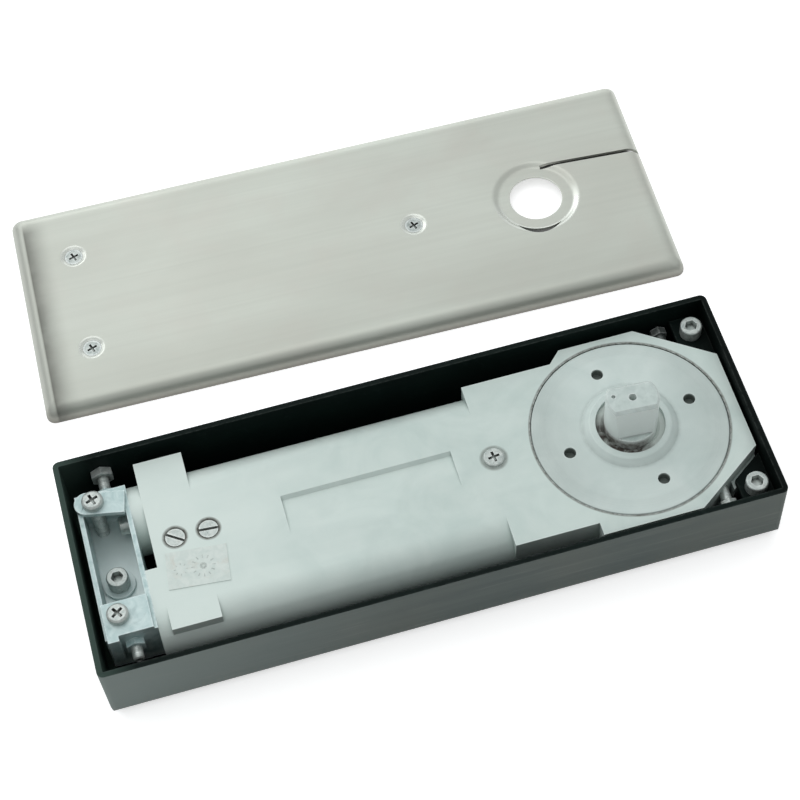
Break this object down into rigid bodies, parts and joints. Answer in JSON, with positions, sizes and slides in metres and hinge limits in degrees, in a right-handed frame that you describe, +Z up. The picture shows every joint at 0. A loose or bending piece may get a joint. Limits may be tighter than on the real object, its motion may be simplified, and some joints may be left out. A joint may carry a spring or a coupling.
{
  "type": "concealed door closer",
  "caption": "Floor-mounted concealed door closer: steel cement box, hydraulic spring body with a tapered spindle, adjusting bracket and a loose stainless cover plate.",
  "frame": {"origin": "on the spindle axis, on the underside of the cement box", "axes": "+Z up, +X along the box towards its spindle end, +Y towards the cover plate that lies beside the box"},
  "size_m": [0.3176, 0.2743, 0.0595],
  "materials": {
    "box_black": "black painted pressed steel, dull, lightly scratched",
    "cast_silver": "cast metal sprayed pale silver",
    "cap_silver": "turned and sprayed pale silver",
    "zinc_plate": "zinc plated sheet, blue-grey",
    "zinc_screw": "bright zinc plated",
    "bright_steel": "ground bearing and shaft steel",
    "dark_steel": "hardened steel, oiled",
    "seal_rubber": "black nitrile rubber",
    "stainless": "finely brushed stainless sheet",
    "label_foil": "thin foil label, plain dial marks"
  },
  "bodies": {
    "box": {"cement_box": "box_black", "corner_screws": "zinc_screw", "corner_clamps": "box_black"},
    "closer": {"closer_housing": "cast_silver", "bearing_cap": "cap_silver", "cap_seal": "seal_rubber", "upper_bearing": "dark_steel", "lower_bearing": "dark_steel", "spindle_seal": "seal_rubber", "closing_spring": "dark_steel", "spring_end_plug": "zinc_plate", "damper_end_plug": "zinc_plate", "plug_seals": "seal_rubber", "valve_seals": "seal_rubber", "filler_screw": "zinc_screw", "setting_label": "label_foil", "end_bracket": "zinc_plate", "bracket_bolts": "zinc_screw", "back_strap": "zinc_plate", "front_strap": "zinc_plate", "side_screw_nuts": "zinc_plate", "head_side_screws": "zinc_screw"},
    "spindle": {"spindle": "bright_steel", "heart_cam": "dark_steel"},
    "carriage": {"roller_carriage": "dark_steel", "roller_pin": "dark_steel", "spring_follower": "dark_steel", "damper_piston": "dark_steel", "piston_ring": "dark_steel", "check_ball": "bright_steel"},
    "roller": {"cam_roller": "dark_steel"},
    "sweep_valve": {"sweep_valve": "zinc_screw"},
    "latch_valve": {"latch_valve": "zinc_screw"},
    "back_level_screw": {"back_level_screw": "zinc_screw"},
    "front_level_screw": {"front_level_screw": "zinc_screw"},
    "front_side_screw": {"front_side_screw": "zinc_screw"},
    "back_side_screw": {"back_side_screw": "zinc_screw"},
    "clamp_screw": {"clamp_screw": "zinc_screw", "clamp_washer": "zinc_plate"},
    "cover": {"cover_plate": "stainless", "cover_screws": "zinc_screw"}
  },
  "joints": [
    {"name": "closer_shift", "type": "slide", "parent": "box", "child": "closer", "axis": [0, 1, 0], "range_m": [-0.0015, 0.0015]},
    {"name": "spindle_turn", "type": "hinge", "parent": "closer", "child": "spindle", "pos_m": [0, 0, 0], "axis": [0, 0, 1], "range_deg": [0, 130], "stiffness_Nm_per_rad": 9, "springref_deg": -60},
    {"name": "carriage_slide", "type": "slide", "parent": "closer", "child": "carriage", "axis": [1, 0, 0], "range_m": [-0.01565, 0], "deforming": ["closing_spring"]},
    {"name": "roller_spin", "type": "hinge", "parent": "carriage", "child": "roller", "pos_m": [-0.024, 0, 0.01825], "axis": [0, 0, 1], "continuous": true},
    {"name": "sweep_valve_turn", "type": "hinge", "parent": "closer", "child": "sweep_valve", "pos_m": [-0.192, 0.0052, 0.034], "axis": [0, 0, 1], "range_deg": [-180, 180]},
    {"name": "latch_valve_turn", "type": "hinge", "parent": "closer", "child": "latch_valve", "pos_m": [-0.207, 0.0052, 0.034], "axis": [0, 0, 1], "range_deg": [-180, 180]},
    {"name": "back_level_screw_turn", "type": "hinge", "parent": "closer", "child": "back_level_screw", "pos_m": [-0.2382, 0.031, 0.036], "axis": [0, 0, 1], "range_deg": [-180, 180]},
    {"name": "front_level_screw_turn", "type": "hinge", "parent": "closer", "child": "front_level_screw", "pos_m": [-0.2382, -0.026, 0.036], "axis": [0, 0, 1], "range_deg": [-180, 180]},
    {"name": "front_side_screw_turn", "type": "hinge", "parent": "closer", "child": "front_side_screw", "pos_m": [-0.2342, -0.035, 0.0264], "axis": [0, 1, 0], "range_deg": [-180, 180]},
    {"name": "back_side_screw_turn", "type": "hinge", "parent": "box", "child": "back_side_screw", "pos_m": [-0.2322, 0.0513, 0.0264], "axis": [0, 1, 0], "range_deg": [-720, 720]},
    {"name": "clamp_screw_turn", "type": "hinge", "parent": "box", "child": "clamp_screw", "pos_m": [-0.2362, 0.002, 0.0119], "axis": [0, 0, 1], "range_deg": [-180, 180]},
    {"name": "cover_lift", "type": "slide", "parent": "box", "child": "cover", "axis": [0, 0, 1], "range_m": [0, 0.1]}
  ],
  "couplings": [
    {"joint": "carriage_slide", "follows": "spindle_turn", "m_per_rad": -0.0068755},
    {"joint": "back_side_screw_turn", "follows": "closer_shift", "rad_per_m": -7854}
  ]
}
